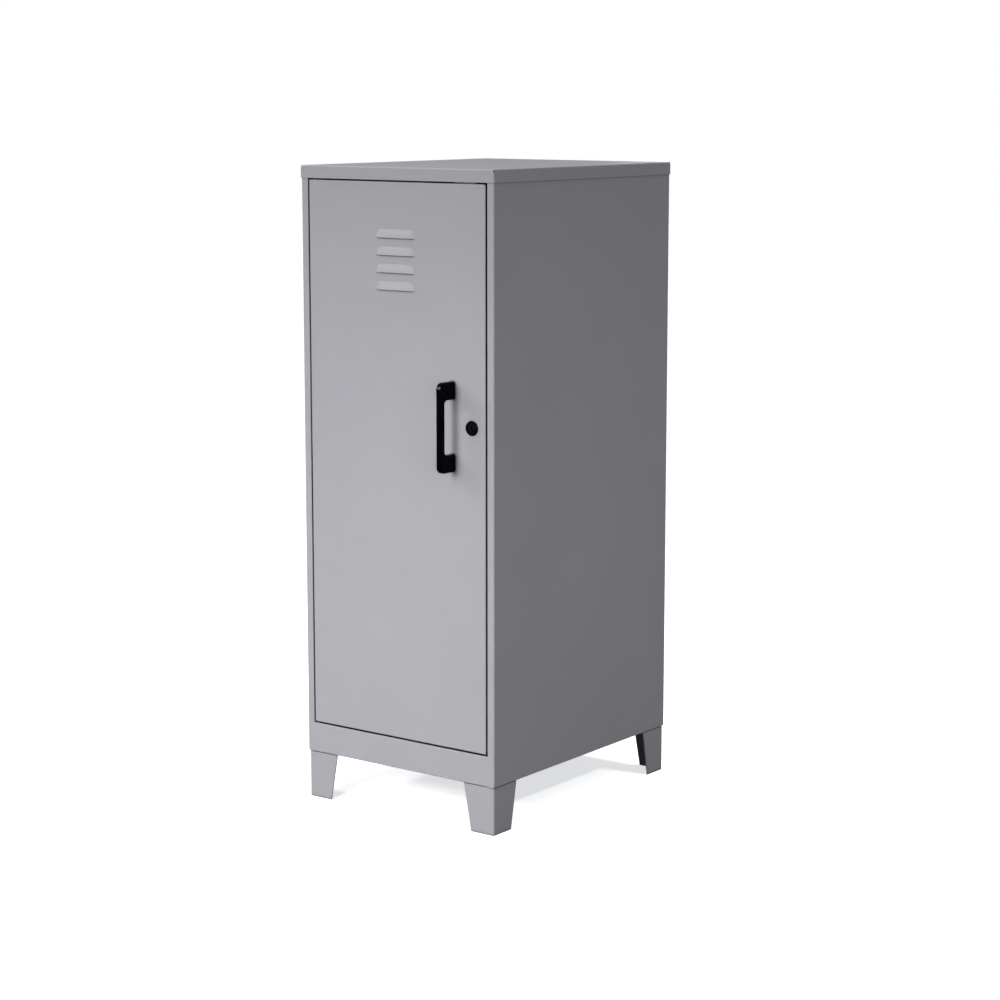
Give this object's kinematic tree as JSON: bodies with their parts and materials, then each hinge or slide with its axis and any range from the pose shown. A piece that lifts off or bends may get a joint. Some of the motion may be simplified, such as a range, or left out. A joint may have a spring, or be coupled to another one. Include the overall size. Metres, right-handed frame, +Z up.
{
  "type": "single-door steel storage locker",
  "caption": "Free-standing steel locker with one inset left-hung door, louvres, a pull handle and a cam lock, two shelves inside, on tapered angle legs.",
  "frame": {"origin": "centre of the overall footprint, pull handle included, on the floor plane", "axes": "+Z up from the floor, +X to the right seen from the front, -Y out of the front face"},
  "size_m": [0.364, 0.4918, 0.9779],
  "materials": {
    "body_paint": "grey powder coat, fine satin texture",
    "bumper_rubber": "soft black rubber",
    "catch_white": "white moulded plastic",
    "door_paint": "grey powder coat, fine satin texture",
    "fixing_zinc": "bright zinc plate",
    "handle_plastic": "black moulded plastic, semi-gloss",
    "inner_paint": "grey powder coat, fine satin texture",
    "leg_paint": "grey powder coat, fine satin texture",
    "lock_black": "black coated zinc casting, semi-gloss",
    "lock_metal": "zinc plated steel",
    "lock_plug_black": "black coated plug face, satin",
    "magnet_dark": "ferrite, matt",
    "nylon": "dark grey nylon",
    "pin_steel": "turned steel, blackened",
    "standard_zinc": "zinc plated strip",
    "wafer_brass": "plain brass"
  },
  "bodies": {
    "cabinet": {"left_side_panel": "body_paint", "right_side_panel": "body_paint", "back_panel": "body_paint", "top_cap": "body_paint", "header_rail": "body_paint", "bottom_rail": "body_paint", "base_panel": "body_paint", "floor_panel": "inner_paint", "leg_front_left": "leg_paint", "leg_front_right": "leg_paint", "leg_rear_left": "leg_paint", "leg_rear_right": "leg_paint", "leg_bolts": "fixing_zinc", "leg_nuts": "fixing_zinc", "standard_front_left": "standard_zinc", "standard_rear_left": "standard_zinc", "standard_front_right": "standard_zinc", "standard_rear_right": "standard_zinc", "lower_shelf": "inner_paint", "upper_shelf": "inner_paint", "shelf_clips": "fixing_zinc", "hinge_bracket_top": "inner_paint", "hinge_bracket_bottom": "inner_paint", "hinge_pin_top": "pin_steel", "hinge_pin_bottom": "pin_steel", "hinge_washer": "nylon", "catch_housing": "catch_white", "catch_magnet": "magnet_dark", "catch_pole_plates": "fixing_zinc", "catch_screws": "fixing_zinc", "door_bumpers": "bumper_rubber"},
    "door": {"door_panel": "door_paint", "door_stiffener": "door_paint", "door_hinge_plate_top": "door_paint", "door_hinge_plate_bottom": "door_paint", "hinge_bush_top": "nylon", "hinge_bush_bottom": "nylon", "handle": "handle_plastic", "handle_screws": "fixing_zinc", "lock_housing": "lock_black", "lock_nut": "lock_metal"},
    "lock_barrel": {"lock_plug": "lock_plug_black", "lock_wafers": "wafer_brass", "lock_cam": "lock_metal", "cam_nut": "fixing_zinc"}
  },
  "joints": [
    {"name": "door_swing", "type": "hinge", "parent": "cabinet", "child": "door", "pos_m": [-0.157, -0.2068, 0.54], "axis": [0, 0, -1], "range_deg": [0, 115]},
    {"name": "lock_turn", "type": "hinge", "parent": "door", "child": "lock_barrel", "pos_m": [0.1413, -0.2023, 0.6052], "axis": [0, -1, 0], "range_deg": [0, 90]}
  ]
}
